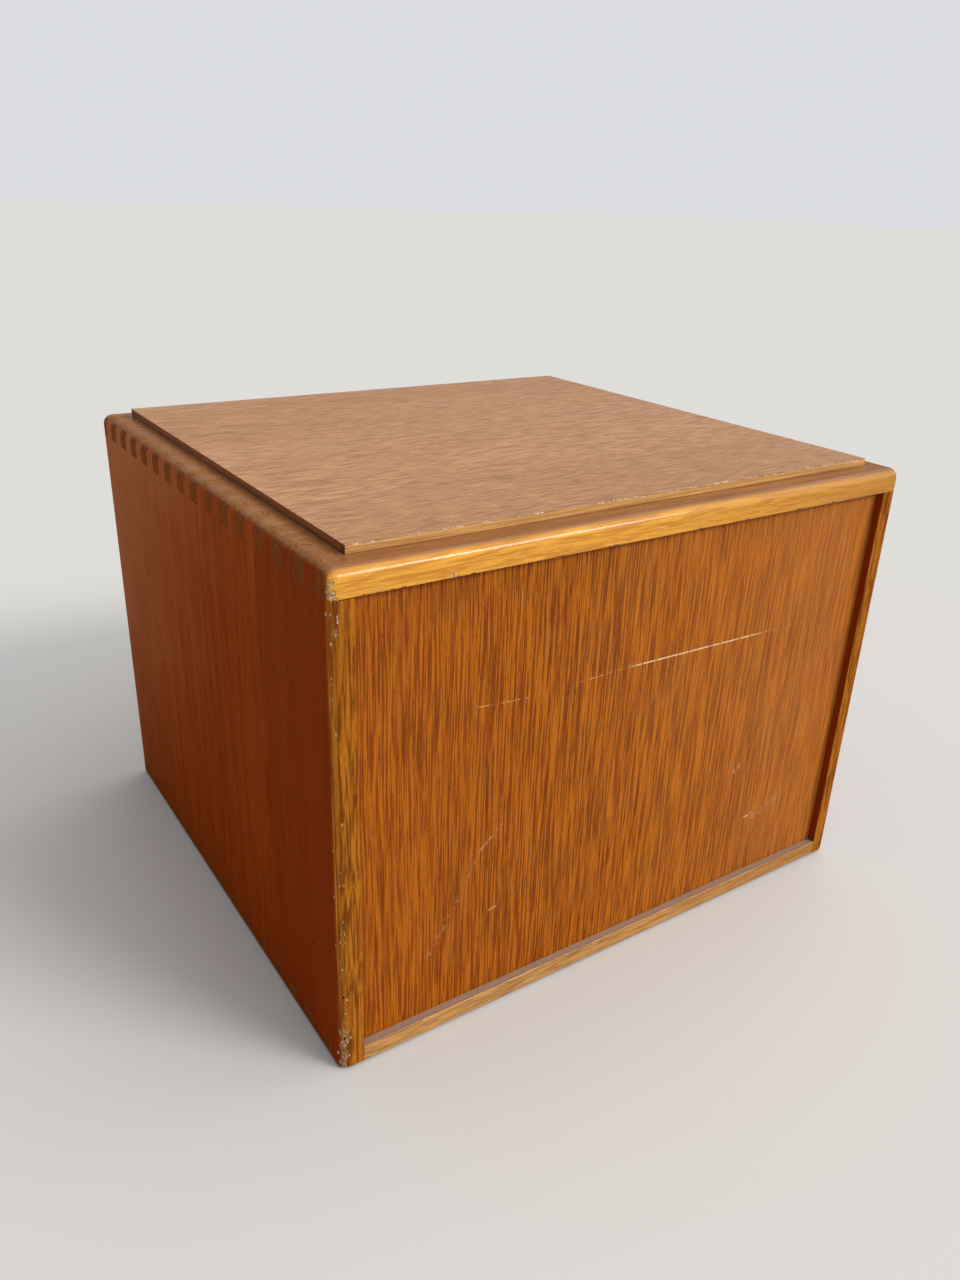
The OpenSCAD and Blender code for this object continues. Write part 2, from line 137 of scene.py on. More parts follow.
def makeCamera(s):
    yaw, pitch, roll = (math.radians(s[k]) for k in ("cameraYaw", "cameraPitch", "cameraRoll"))
    ahead = Vector((math.sin(yaw) * math.cos(pitch), math.cos(yaw) * math.cos(pitch), -math.sin(pitch)))
    level = Vector((math.cos(yaw), -math.sin(yaw), 0))
    over = level.cross(ahead)
    right = level * math.cos(roll) + over * math.sin(roll)
    up = over * math.cos(roll) - level * math.sin(roll)
    camera = bpy.data.objects.new("camera", bpy.data.cameras.new("camera"))
    bpy.context.scene.collection.objects.link(camera)
    camera.data.lens = s["lens"]
    turned = Matrix((right, up, -ahead)).transposed().to_4x4()
    camera.matrix_world = Matrix.Translation(s["cameraPlace"]) @ turned
    bpy.context.scene.camera = camera


def makeSun(name, towards, strength, spread, colour):
    light = bpy.data.lights.new(name, "SUN")
    light.energy, light.angle, light.color = strength, math.radians(spread), colour
    holder = bpy.data.objects.new(name, light)
    bpy.context.scene.collection.objects.link(holder)
    holder.rotation_euler = Vector(towards).to_track_quat("Z", "Y").to_euler()


def makeStage(s):
    world = bpy.data.worlds.new("studio")
    bpy.context.scene.world = world
    world.use_nodes = True
    background = world.node_tree.nodes["Background"]
    background.inputs["Color"].default_value = (*s["worldColour"], 1)
    tree = world.node_tree
    rays = addNode(tree, "ShaderNodeLightPath").outputs
    towards = addNode(tree, "ShaderNodeSeparateXYZ",
                      {0: addNode(tree, "ShaderNodeTexCoord").outputs["Generated"]}).outputs
    gloss = remap(tree, towards["Y"], -0.35, 0.35, s["roomGloss"], s["wallGloss"])
    soft = maths(tree, "MULTIPLY", rays["Is Diffuse Ray"], s["worldLight"])
    seen = maths(tree, "MULTIPLY", rays["Is Camera Ray"], s["worldSeen"])
    mirrored = maths(tree, "MULTIPLY", rays["Is Glossy Ray"], gloss)
    tree.links.new(maths(tree, "ADD", maths(tree, "ADD", soft, seen), mirrored),
                   background.inputs["Strength"])
    bpy.context.scene.view_settings.view_transform = "Standard"
    for pane, towards in enumerate(s["windowTowards"]):
        makeSun("windowLight" + "LR"[pane], towards, s["windowStrength"], s["windowSpread"], (1, 0.98, 0.94))
    makeSun("roomLight", s["roomTowards"], s["roomStrength"], s["roomSpread"], (1, 0.98, 0.95))
    half = s["floorSize"] / 2
    mesh = bpy.data.meshes.new("floor")
    mesh.from_pydata([(-half, -half, 0), (half, -half, 0), (half, half, 0), (-half, half, 0)], [],
                     [(0, 1, 2, 3)])
    floor = bpy.data.objects.new("floor", mesh)
    bpy.context.scene.collection.objects.link(floor)
    paint = bpy.data.materials.new("floorPaint")
    paint.use_nodes = True
    shader = paint.node_tree.nodes["Principled BSDF"]
    shader.inputs["Roughness"].default_value = 0.9
    shader.inputs["Specular IOR Level"].default_value = 0.0
    # Mirrored in the lacquer, the floor is as dark and warm as the wooden floors such a table stands on
    mirroredFloor = addNode(paint.node_tree, "ShaderNodeLightPath").outputs["Is Glossy Ray"]
    floorTone = blend(paint.node_tree, mirroredFloor, s["floorColour"], s["floorGloss"])
    paint.node_tree.links.new(floorTone, shader.inputs["Base Color"])
    mesh.materials.append(paint)


makeCamera(stageSettings)
makeStage(stageSettings)
print("camera, lights and floor made")


# Effects shared by the woods. In a grain vector the fibres run along X.

def oakGrainGroup():
    group, given, out = makeGroup("oakGrain", [
        ("Vector", "vector", (0, 0, 0)), ("Pitch", "value", 0.003), ("Stretch", "value", 40.0),
        ("Warp", "value", 0.004), ("Pore Length", "value", 0.006), ("Banding", "value", 0.32),
        ("Lines", "value", 0.0), ("Softness", "value", 0.12)],
        ["Streak", "Pore", "Cloud"])
    sway = noise(group, scaled(group, given["Vector"], 5.0), 1.0, 2.0)
    offset = maths(group, "MULTIPLY", maths(group, "SUBTRACT", sway, 0.5), given["Warp"])
    swayed = vectorMaths(group, "ADD", given["Vector"],
                         addNode(group, "ShaderNodeCombineXYZ", {"Y": offset, "Z": offset}).outputs[0])
    flat = addNode(group, "ShaderNodeSeparateXYZ", {0: swayed}).outputs
    along = maths(group, "DIVIDE", flat["X"], given["Stretch"])
    fibre = addNode(group, "ShaderNodeCombineXYZ", {"X": along, "Y": flat["Y"], "Z": flat["Z"]}).outputs[0]
    fibreScaled = scaled(group, fibre, maths(group, "DIVIDE", 1.0, given["Pitch"]))
    rings = noise(group, fibreScaled, 1.0, 2.5, 0.62)
    bands = noise(group, fibreScaled, 0.23, 2.0, 0.5)
    streak = addNode(group, "ShaderNodeMix", {0: given["Banding"], 2: rings, 3: bands}).outputs[0]
    # Straight growth lines on a slant, so they show on either face of a board
    across = maths(group, "DIVIDE", maths(group, "ADD", flat["Y"], flat["Z"]),
                   maths(group, "MULTIPLY", given["Pitch"], 2.1))
    phase = maths(group, "ADD", across, maths(group, "MULTIPLY", bands, 5.0))
    lines = maths(group, "MULTIPLY", maths(group, "PINGPONG", phase, 0.5), 2.0)
    low, high = maths(group, "SUBTRACT", 0.5, given["Softness"]), maths(group, "ADD", 0.5, given["Softness"])
    both = addNode(group, "ShaderNodeMix",
                   {0: given["Lines"], 2: remap(group, streak, low, high), 3: lines}).outputs[0]
    group.links.new(both, out["Streak"])
    poreAlong = maths(group, "DIVIDE", flat["X"], given["Pore Length"])
    poreAcross = [maths(group, "MULTIPLY", flat[axis], 1500.0) for axis in "YZ"]
    poreVector = addNode(group, "ShaderNodeCombineXYZ",
                         {"X": poreAlong, "Y": poreAcross[0], "Z": poreAcross[1]}).outputs[0]
    pore = noise(group, poreVector, 1.0, 1.0, 0.5)
    group.links.new(remap(group, pore, 0.60, 0.72), out["Pore"])
    group.links.new(noise(group, vectorMaths(group, "MULTIPLY", given["Vector"], (2.5, 11.0, 11.0)), 1.0,
                          3.0, 0.55), out["Cloud"])
    return group


def staveGroup():
    # A tone of its own for each glued stave, and a thin line where two staves meet
    group, given, out = makeGroup("staveTones", [
        ("Vector", "vector", (0, 0, 0)), ("Width", "value", 0.1), ("Shift", "value", 0.0)], ["Tone", "Seam"])
    across = addNode(group, "ShaderNodeSeparateXYZ", {0: given["Vector"]}).outputs["Y"]
    count = maths(group, "DIVIDE", maths(group, "ADD", across, given["Shift"]), given["Width"])
    cell = maths(group, "FLOOR", count)
    tone = maths(group, "FRACT", maths(group, "ADD", maths(group, "MULTIPLY", cell, 0.2), 0.1))
    group.links.new(tone, out["Tone"])
    fromSeam = maths(group, "MULTIPLY", maths(group, "PINGPONG", count, 0.5), given["Width"])
    group.links.new(remap(group, fromSeam, 0.0, 0.0009, 1.0, 0.0), out["Seam"])
    return group


def edgeWearGroup():
    # The second smallest distance to a box's faces is small only along its edges
    group, given, out = makeGroup("edgeWear", [
        ("Vector", "vector", (0, 0, 0)), ("Low", "vector", (0, 0, 0)), ("High", "vector", (1, 1, 1)),
        ("Reach", "value", 0.004), ("Roughness", "value", 0.003)], ["Mask", "Speck", "Distance"])
    nearest = vectorMaths(group, "MINIMUM", vectorMaths(group, "SUBTRACT", given["Vector"], given["Low"]),
                          vectorMaths(group, "SUBTRACT", given["High"], given["Vector"]))
    x, y, z = addNode(group, "ShaderNodeSeparateXYZ", {0: nearest}).outputs
    lower = maths(group, "MINIMUM", x, y)
    second = maths(group, "MAXIMUM", lower, maths(group, "MINIMUM", maths(group, "MAXIMUM", x, y), z))
    broad = maths(group, "SUBTRACT", noise(group, given["Vector"], 55.0, 3.0, 0.6), 0.5)
    ragged = maths(group, "ADD", second, maths(group, "MULTIPLY", broad, given["Roughness"]))
    group.links.new(remap(group, ragged, maths(group, "MULTIPLY", given["Reach"], 0.4), given["Reach"], 1.0,
                          0.0), out["Mask"])
    speck = noise(group, given["Vector"], 420.0, 2.0, 0.7)
    near = remap(group, second, 0.0, given["Reach"], 0.13, 0.0)
    group.links.new(remap(group, maths(group, "ADD", speck, near), 0.75, 0.79), out["Speck"])
    group.links.new(second, out["Distance"])
    return group


def scratchGroup():
    # Distance from a point to the line between two ends, broken up along its length
    group, given, out = makeGroup("scratch", [
        ("Vector", "vector", (0, 0, 0)), ("Start", "vector", (0, 0, 0)), ("End", "vector", (1, 0, 0)),
        ("Width", "value", 0.0006), ("Broken", "value", 0.4)], ["Mask"])
    run = vectorMaths(group, "SUBTRACT", given["End"], given["Start"])
    gone = vectorMaths(group, "SUBTRACT", given["Vector"], given["Start"])
    share = maths(group, "DIVIDE", vectorMaths(group, "DOT_PRODUCT", gone, run, output="Value"),
                  vectorMaths(group, "DOT_PRODUCT", run, run, output="Value"), clamp=True)
    gap = vectorMaths(group, "SUBTRACT", gone, scaled(group, run, share))
    distance = vectorMaths(group, "LENGTH", gap, output="Value")
    line = remap(group, distance, maths(group, "MULTIPLY", given["Width"], 0.25), given["Width"], 1.0, 0.0)
    breaks = remap(group, noise(group, given["Vector"], 330.0, 2.0), given["Broken"],
                   maths(group, "ADD", given["Broken"], 0.2))
    taper = remap(group, maths(group, "PINGPONG", share, 0.5), 0.0, 0.12)
    group.links.new(maths(group, "MULTIPLY", maths(group, "MULTIPLY", line, breaks), taper), out["Mask"])
    return group


def levelBandGroup():
    # A band on level wood just outside the sides of a box
    group, given, out = makeGroup("dust", [
        ("Vector", "vector", (0, 0, 0)), ("Normal", "vector", (0, 0, 1)), ("Low", "vector", (0, 0, 0)),
        ("High", "vector", (1, 1, 1)), ("Reach", "value", 0.003)], ["Mask"])
    outside = vectorMaths(group, "MAXIMUM", vectorMaths(group, "SUBTRACT", given["Low"], given["Vector"]),
                          vectorMaths(group, "SUBTRACT", given["Vector"], given["High"]))
    distance = vectorMaths(group, "LENGTH", vectorMaths(group, "MAXIMUM", outside, (0, 0, 0)), output="Value")
    ragged = maths(group, "ADD", distance,
                   maths(group, "MULTIPLY", noise(group, given["Vector"], 120.0, 3.0), 0.002))
    level = remap(group, addNode(group, "ShaderNodeSeparateXYZ", {0: given["Normal"]}).outputs["Z"], 0.8,
                  0.97)
    close = remap(group, ragged, given["Reach"], maths(group, "MULTIPLY", given["Reach"], 2.0), 1.0, 0.0)
    outsideOnly = remap(group, distance, 0.0, 0.0004)
    group.links.new(maths(group, "MULTIPLY", maths(group, "MULTIPLY", close, outsideOnly), level),
                    out["Mask"])
    return group


def fadeGroup():
    # From nothing at one point to full at another, with an uneven front
    group, given, out = makeGroup("fade", [
        ("Vector", "vector", (0, 0, 0)), ("Start", "vector", (0, 0, 0)), ("End", "vector", (1, 0, 0))],
        ["Mask"])
    run = vectorMaths(group, "SUBTRACT", given["End"], given["Start"])
    gone = vectorMaths(group, "SUBTRACT", given["Vector"], given["Start"])
    share = maths(group, "DIVIDE", vectorMaths(group, "DOT_PRODUCT", gone, run, output="Value"),
                  vectorMaths(group, "DOT_PRODUCT", run, run, output="Value"))
    uneven = maths(group, "SUBTRACT", noise(group, given["Vector"], 14.0, 3.0), 0.5)
    group.links.new(remap(group, maths(group, "ADD", share, maths(group, "MULTIPLY", uneven, 0.5)), 0.0,
                          1.0), out["Mask"])
    return group


oakGrain, staveTones, edgeWear = oakGrainGroup(), staveGroup(), edgeWearGroup()
scratch, dust, fade = scratchGroup(), levelBandGroup(), fadeGroup()
print("effects made")


# Woods

grainTurns = {"x": (0, 0, 0), "y": (0, 0, -math.pi / 2), "z": (0, math.pi / 2, 0)}

# What a wood has unless its own settings say otherwise
usualWood = {"banding": 0.32, "lines": 0.0, "softness": 0.12, "stave": 0.0, "staveTone": 0.0,
             "wearAmount": 0.0}
woods = {
    # The side boards' light and dark tones are painted shade: dark and red as the shaded left side looks, so
    # a lit side comes out far too red
    "oak_side": {"grain": "z", "light": (0.38, 0.064, 0.001), "dark": (0.26, 0.032, 0.0005),
                 "end": (0.29, 0.120, 0.042),
                 "pitch": 0.0022, "stretch": 45.0, "warp": 0.010, "pore": 0.30, "cloud": 0.25, "stave": 0.205,
                 "staveTone": 0.30, "roughness": 0.46, "coat": 0.0, "specular": 0.04,
                 "wear": (0.55, 0.24, 0.04),
                 "wearAmount": 0.25, "edgeLight": (0.42, 0.140, 0.010), "edgeDark": (0.17, 0.045, 0.004)},
    "oak_board": {"grain": "x", "light": (0.39, 0.155, 0.045), "dark": (0.27, 0.098, 0.025),
                  "end": (0.20, 0.042, 0.004),
                  "pitch": 0.0026, "stretch": 30.0, "warp": 0.014, "pore": 0.45, "cloud": 0.30,
                  "roughness": 0.40, "coat": 0.45, "specular": 0.08, "wear": (0.66, 0.36, 0.10),
                  "wearAmount": 0.4, "edgeLight": (0.78, 0.37, 0.050), "edgeDark": (0.56, 0.230, 0.034),
                  "edgeFade": ((-0.05, 0, 0.36), (0.25, 0, 0.36), (0.38, 0.160, 0.038), 0.6)},
    "oak_panel": {"grain": "z", "light": (0.52, 0.148, 0.004), "dark": (0.165, 0.030, 0.0005),
                  "end": (0.20, 0.06, 0.015),
                  "pitch": 0.0013, "stretch": 42.0, "warp": 0.004, "banding": 0.05, "lines": 0.25,
                  "softness": 0.075, "pore": 0.50, "cloud": 0.10,
                  "roughness": 0.48, "coat": 0.0, "specular": 0.15, "wear": (0.6, 0.3, 0.1)},
    "oak_front": {"grain": "x", "light": (0.52, 0.165, 0.020), "dark": (0.26, 0.065, 0.008),
                  "end": (0.20, 0.06, 0.015),
                  "pitch": 0.0022, "stretch": 34.0, "warp": 0.014, "pore": 0.5, "cloud": 0.30,
                  "roughness": 0.42, "coat": 0.15, "specular": 0.35, "wear": (0.66, 0.42, 0.20)},
    # The lid's light and dark tones hold both its wood and a painted sheen: pale and pinkish as the lid looks
    # when it mirrors a pale wall
    "lid_veneer": {"grain": "x", "light": (0.72, 0.37, 0.175), "dark": (0.42, 0.185, 0.07),
                   "end": (0.25, 0.1, 0.04),
                   "pitch": 0.0013, "stretch": 15.0, "warp": 0.006, "banding": 0.06, "softness": 0.09,
                   "pore": 0.50, "cloud": 0.30, "stave": 0.14,
                   "staveTone": 0.10, "roughness": 0.36, "coat": 0.15, "specular": 0.40,
                   "wear": (0.75, 0.58, 0.38)},
    "oak_lipping": {"grain": "x", "light": (0.84, 0.47, 0.15), "dark": (0.50, 0.24, 0.065),
                    "end": (0.12, 0.040, 0.012),
                    "pitch": 0.0020, "stretch": 40.0, "warp": 0.006, "pore": 0.4, "cloud": 0.3,
                    "roughness": 0.45, "coat": 0.15, "specular": 0.4, "wear": (0.80, 0.62, 0.40)},
    "plywood": {"grain": "x", "light": (0.70, 0.52, 0.33), "dark": (0.56, 0.38, 0.21),
                "end": (0.42, 0.27, 0.15),
                "pitch": 0.0045, "stretch": 22.0, "warp": 0.03, "pore": 0.10, "cloud": 0.2,
                "roughness": 0.55, "coat": 0.10, "specular": 0.4, "wear": (0.7, 0.55, 0.4)},
    "beech": {"grain": "y", "light": (0.66, 0.45, 0.26), "dark": (0.50, 0.31, 0.16),
              "end": (0.42, 0.25, 0.13),
              "pitch": 0.0018, "stretch": 30.0, "warp": 0.012, "pore": 0.30, "cloud": 0.2,
              "roughness": 0.5, "coat": 0.12, "specular": 0.4, "wear": (0.74, 0.56, 0.38)},
    "dowel": {"grain": "z", "light": (0.74, 0.56, 0.36), "dark": (0.58, 0.41, 0.24), "end": (0.5, 0.34, 0.2),
              "pitch": 0.0010, "stretch": 30.0, "warp": 0.003, "pore": 0.15, "cloud": 0.2,
              "roughness": 0.45, "coat": 0.15, "specular": 0.4, "wear": (0.74, 0.56, 0.38)},
}


def makeWood(name, s, grain, edgeBox=None, marks=(), levelBands=(), gradients=()):
    # marks: (group, its inputs, colour, amount); level bands: (low, high, reach, colour, amount)
    material = bpy.data.materials.new(name)
    material.use_nodes = True
    tree = material.node_tree
    shader = tree.nodes["Principled BSDF"]
    coords = addNode(tree, "ShaderNodeTexCoord").outputs
    place, facing = coords["Object"], coords["Normal"]
    turn = grainTurns[grain]
    fibre = addNode(tree, "ShaderNodeMapping", {"Vector": place, "Rotation": turn}).outputs[0]
    looks = useGroup(tree, oakGrain,
                     {"Vector": fibre, "Pitch": s["pitch"], "Stretch": s["stretch"], "Warp": s["warp"],
                                     "Banding": s["banding"], "Lines": s["lines"], "Softness": s["softness"]})
    colour = blend(tree, looks["Streak"], s["dark"], s["light"])
    cloud = remap(tree, looks["Cloud"], 0.3, 0.7, 0.0, s["cloud"])
    colour = blend(tree, cloud, colour, tuple(c * 0.72 for c in s["dark"]))
    colour = blend(tree, maths(tree, "MULTIPLY", looks["Pore"], s["pore"]), colour,
                   tuple(c * 0.45 for c in s["dark"]))
    if s["stave"]:
        staves = useGroup(tree, staveTones, {"Vector": fibre, "Width": s["stave"], "Shift": 0.125})
        colour = blend(tree, maths(tree, "MULTIPLY", staves["Tone"], s["staveTone"] * 2), colour,
                       tuple(c * 0.8 for c in s["dark"]))
        colour = blend(tree, maths(tree, "MULTIPLY", staves["Seam"], 0.35), colour,
                       tuple(c * 0.5 for c in s["dark"]))
    # Gradients of colour, among them painted light and a painted sheen
    for start, end, paint, amount in gradients:
        mask = useGroup(tree, fade, {"Vector": place, "Start": start, "End": end})["Mask"]
        colour = blend(tree, maths(tree, "MULTIPLY", mask, amount), colour, paint)
    # Faces towards front and back take edge tones of their own; on the side boards these keep the lit golden
    # tone of the wood, set apart from the painted shade of the side faces
    if "edgeLight" in s:
        across = addNode(tree, "ShaderNodeSeparateXYZ", {0: facing}).outputs["Y"]
        onEdge = remap(tree, maths(tree, "ABSOLUTE", across), 0.35, 0.8)
        swirl = remap(tree,
                      noise(tree, vectorMaths(tree, "MULTIPLY", fibre, (26.0, 420.0, 420.0)), 1.0, 3.0, 0.6,
                            0.9), 0.38, 0.6)
        edgeTone = blend(tree, swirl, s["edgeDark"], s["edgeLight"])
        edgeTone = blend(tree, maths(tree, "MULTIPLY", looks["Pore"], 0.5), edgeTone, s["edgeDark"])
        if "edgeFade" in s:
            start, end, paint, amount = s["edgeFade"]
            mask = useGroup(tree, fade, {"Vector": place, "Start": start, "End": end})["Mask"]
            edgeTone = blend(tree, maths(tree, "MULTIPLY", mask, amount), edgeTone, paint)
        colour = blend(tree, onEdge, colour, edgeTone)
    turnedNormal = addNode(tree, "ShaderNodeMapping", {"Vector": facing, "Rotation": turn},
                           vector_type="POINT").outputs[0]
    alongGrain = maths(tree, "ABSOLUTE",
                       addNode(tree, "ShaderNodeSeparateXYZ", {0: turnedNormal}).outputs["X"])
    endMask = remap(tree, alongGrain, 0.55, 0.85)
    endSpots = noise(tree, vectorMaths(tree, "MULTIPLY", fibre, (1.0, 900.0, 500.0)), 1.0, 2.0)
    endColour = blend(tree, remap(tree, endSpots, 0.35, 0.65), tuple(c * 0.7 for c in s["end"]),
                      tuple(c * 1.35 for c in s["end"]))
    colour = blend(tree, endMask, colour, endColour)
    roughness = remap(tree, looks["Cloud"], 0.3, 0.7, s["roughness"] - 0.06, s["roughness"] + 0.08)
    height = maths(tree, "SUBTRACT", maths(tree, "MULTIPLY", looks["Streak"], 0.35), looks["Pore"])
    if edgeBox and s["wearAmount"]:
        wear = useGroup(tree, edgeWear, {"Vector": place, "Low": edgeBox[0], "High": edgeBox[1]})
        rubbed = maths(tree, "MULTIPLY", wear["Mask"], s["wearAmount"])
        colour = blend(tree, rubbed, colour, s["wear"])
        colour = blend(tree, wear["Speck"], colour, (0.86, 0.80, 0.72))
        height = maths(tree, "SUBTRACT", height, maths(tree, "MULTIPLY", wear["Speck"], 2.0))
    for group, given, paint, amount in marks:
        mask = useGroup(tree, group, {"Vector": place, **given})["Mask"]
        colour = blend(tree, maths(tree, "MULTIPLY", mask, amount), colour, paint)
    # Bands on level wood round an outline: a painted reflection on the lip before the panel, and a thin grey
    # line round the foot of the lid
    for low, high, reach, paint, amount in levelBands:
        given = {"Vector": place, "Normal": facing, "Low": low, "High": high, "Reach": reach}
        mask = maths(tree, "MULTIPLY", useGroup(tree, dust, given)["Mask"], amount)
        colour = blend(tree, mask, colour, paint)
        roughness = maths(tree, "MAXIMUM", roughness, mask)
    bump = addNode(tree, "ShaderNodeBump", {"Height": height, "Strength": 0.35, "Distance": 0.0002})
    tree.links.new(bump.outputs[0], shader.inputs["Normal"])
    tree.links.new(colour, shader.inputs["Base Color"])
    tree.links.new(roughness, shader.inputs["Roughness"])
    tree.links.new(remap(tree, endMask, 0.0, 1.0, s["coat"], 0.0), shader.inputs["Coat Weight"])
    shader.inputs["Coat Roughness"].default_value = 0.10
    shader.inputs["Specular IOR Level"].default_value = s["specular"]
    return material


boardNodes = ("left_side", "right_side", "top_board", "bottom_board")
boxLow = Vector(min(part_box(name)[0][axis] for name in boardNodes) for axis in range(3))
boxHigh = Vector(max(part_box(name)[1][axis] for name in boardNodes) for axis in range(3))
tall = Vector((0, 0, 1))
uprightEdges = (tuple(boxLow - tall), tuple(boxHigh + tall))
wearBoxes = {"oak_side": uprightEdges, "oak_board": uprightEdges}

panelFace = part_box("back_panel")[0].y
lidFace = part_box("lid_veneer")[1].z


def onPanel(x, z):
    return (x, panelFace, z)


def onLid(x, y):
    return (x, y, lidFace)


def mark(start, end, width, broken, colour, amount):
    return (scratch, {"Start": start, "End": end, "Width": width, "Broken": broken}, colour, amount)


paleMark, greyMark = (0.70, 0.40, 0.17), (0.50, 0.26, 0.15)
darkMark, longMark = (0.10, 0.045, 0.02), (0.86, 0.60, 0.34)
# The joint between the top board's end finger and the side shows as a fine dark line
seam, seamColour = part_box("top_board")[0].z - 0.0002, (0.06, 0.016, 0.003)
marksOn = {
    "oak_side": [mark((boxLow.x - 0.002, boxLow.y, seam), (boxLow.x + 0.019, boxLow.y, seam), 0.0007, 0.0,
                      seamColour, 0.8)],
    "oak_panel": [
        mark(onPanel(-0.020, 0.2506), onPanel(0.125, 0.2480), 0.0008, 0.28, longMark, 0.9),
        mark(onPanel(-0.066, 0.2496), onPanel(-0.016, 0.2506), 0.0008, 0.46, paleMark, 0.6),
        mark(onPanel(-0.147, 0.2524), onPanel(-0.100, 0.2486), 0.0008, 0.42, paleMark, 0.5),
        mark(onPanel(0.118, 0.2482), onPanel(0.169, 0.2474), 0.0008, 0.50, paleMark, 0.7),
        mark(onPanel(-0.181, 0.060), onPanel(-0.152, 0.110), 0.0042, 0.47, greyMark, 0.30),
        mark(onPanel(-0.150, 0.114), onPanel(-0.138, 0.139), 0.0014, 0.46, greyMark, 0.35),
        mark(onPanel(-0.140, 0.137), onPanel(-0.116, 0.158), 0.0018, 0.42, greyMark, 0.55),
        mark(onPanel(-0.129, 0.0838), onPanel(-0.121, 0.0852), 0.0009, 0.2, paleMark, 0.7),
        mark(onPanel(0.136, 0.069), onPanel(0.178, 0.081), 0.0070, 0.40, greyMark, 0.4),
        mark(onPanel(0.135, 0.0720), onPanel(0.142, 0.0722), 0.0014, 0.2, paleMark, 0.8),
        mark(onPanel(0.112, 0.123), onPanel(0.120, 0.130), 0.0040, 0.35, greyMark, 0.5),
    ],
    "lid_veneer": [
        mark(onLid(-0.222, 0.0848), onLid(-0.178, 0.0844), 0.0014, 0.30, darkMark, 0.8),
        mark(onLid(0.070, -0.060), onLid(0.165, -0.066), 0.0014, 0.45, darkMark, 0.35),
    ],
}

rimTop = boxHigh.z
lidLow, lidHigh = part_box("lid_veneer")
lidOutline = ((lidLow.x, lidLow.y, rimTop), tuple(lidHigh))
panelOutline = tuple(tuple(corner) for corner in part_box("back_panel"))
# A painted reflection of a pale sky, greyish, on the level lip in front of the panel; and a thin grey line
# round the foot of the lid
lipPaintedReflection, lidFootLine = (0.34, 0.245, 0.190), (0.40, 0.31, 0.25)
levelBandsOn = {"oak_board": [(*panelOutline, 0.0045, lipPaintedReflection, 0.80), (*lidOutline, 0.0011, lidFootLine, 0.5)],
          "oak_side": [(*lidOutline, 0.0011, lidFootLine, 0.3)]}
# Gentle changes of colour from one point to another: painted light, a painted sheen and some darker stretches
gradientsAndPaintedLightOn = {
    # Panel: painted light, lighter and less red towards the right where the light falls; then darker towards
    # the left
    "oak_panel": [((-0.10, panelFace, 0.15), (0.26, panelFace, 0.24), (0.56, 0.200, 0.045), 0.35),
                  ((-0.05, panelFace, 0.20), (-0.24, panelFace, 0.17), (0.33, 0.070, 0.001), 0.22)],
    # Side boards: a painted sheen, a pale haze towards the top back; then darker towards the near foot
    "oak_side": [((-0.25, -0.04, 0.20), (-0.25, 0.20, 0.40), (0.52, 0.190, 0.075), 0.6),
                 ((-0.25, 0.05, 0.25), (-0.25, -0.20, 0.02), (0.24, 0.028, 0.0005), 0.5)],
}
# Colours of single boards that differ from the rest of their slot: the bottom board's front and back edges,
# and the lid's end lippings, which are painted shade
boardColoursAndShade = {
    "bottom_board": {"edgeLight": (0.574, 0.302, 0.099), "edgeDark": (0.348, 0.160, 0.049)},
    # Painted shade: the lid's end lippings are as dark and red as the shaded left end of the lid looks
    "lid_end_lippings": {"light": (0.30, 0.085, 0.015), "dark": (0.18, 0.045, 0.008)},
}
grainOf = {"lid_end_lippings": "y", "lid_battens": "y", "drawer_runners": "y", "tray_ledges": "x",
           "tray_cross_dividers": "x",
           "tray_long_divider": "y", "well_shelf": "x", "tray_bottom": "y"}
woodCache = {}


def woodFor(node):
    # Loose parts have their grain along their length
    slot = slotOf[node]
    low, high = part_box(node)
    size = high - low
    grain = woods[slot]["grain"]
    if slot in ("beech", "plywood", "oak_lipping"):
        grain = grainOf.get(node) or "xyz"[max(range(3), key=lambda axis: size[axis])]
    boardColours = boardColoursAndShade.get(node, {})
    name = slot + grain.upper() + ("Own" if boardColours else "")
    if name not in woodCache:
        woodCache[name] = makeWood(name, {**usualWood, **woods[slot], **boardColours}, grain, wearBoxes.get(slot),
                                   marksOn.get(slot, ()),
                                   levelBandsOn.get(slot, ()), gradientsAndPaintedLightOn.get(slot, ()))
    return woodCache[name]


def makeBrass():
    material = bpy.data.materials.new("brass")
    material.use_nodes = True
    tree = material.node_tree
    shader = tree.nodes["Principled BSDF"]
    place = addNode(tree, "ShaderNodeTexCoord").outputs["Object"]
    tarnish = noise(tree, place, 300.0, 3.0)
    tree.links.new(blend(tree, remap(tree, tarnish, 0.35, 0.65), (0.60, 0.42, 0.16), (0.34, 0.22, 0.08)),
                   shader.inputs["Base Color"])
    tree.links.new(remap(tree, tarnish, 0.3, 0.7, 0.25, 0.45), shader.inputs["Roughness"])
    shader.inputs["Metallic"].default_value = 1.0
    return material


def makeFelt():
    material = bpy.data.materials.new("felt")
    material.use_nodes = True
    tree = material.node_tree
    shader = tree.nodes["Principled BSDF"]
    place = addNode(tree, "ShaderNodeTexCoord").outputs["Object"]
    hairs = noise(tree, place, 1800.0, 4.0, 0.7, 1.5)
    tree.links.new(blend(tree, hairs, (0.05, 0.045, 0.04), (0.16, 0.145, 0.13)), shader.inputs["Base Color"])
    bump = addNode(tree, "ShaderNodeBump", {"Height": hairs, "Strength": 0.6, "Distance": 0.0004})
    tree.links.new(bump.outputs[0], shader.inputs["Normal"])
    shader.inputs["Roughness"].default_value = 0.95
    shader.inputs["Sheen Weight"].default_value = 0.3
    return material


plain = {"brass": makeBrass(), "felt": makeFelt()}
materialOf = {name: plain.get(slotOf[name]) or woodFor(name) for name in nodes}
print("materials made:", len(woodCache) + len(plain))

for name, node in nodes.items():
    node.data.materials.clear()
    node.data.materials.append(materialOf[name])


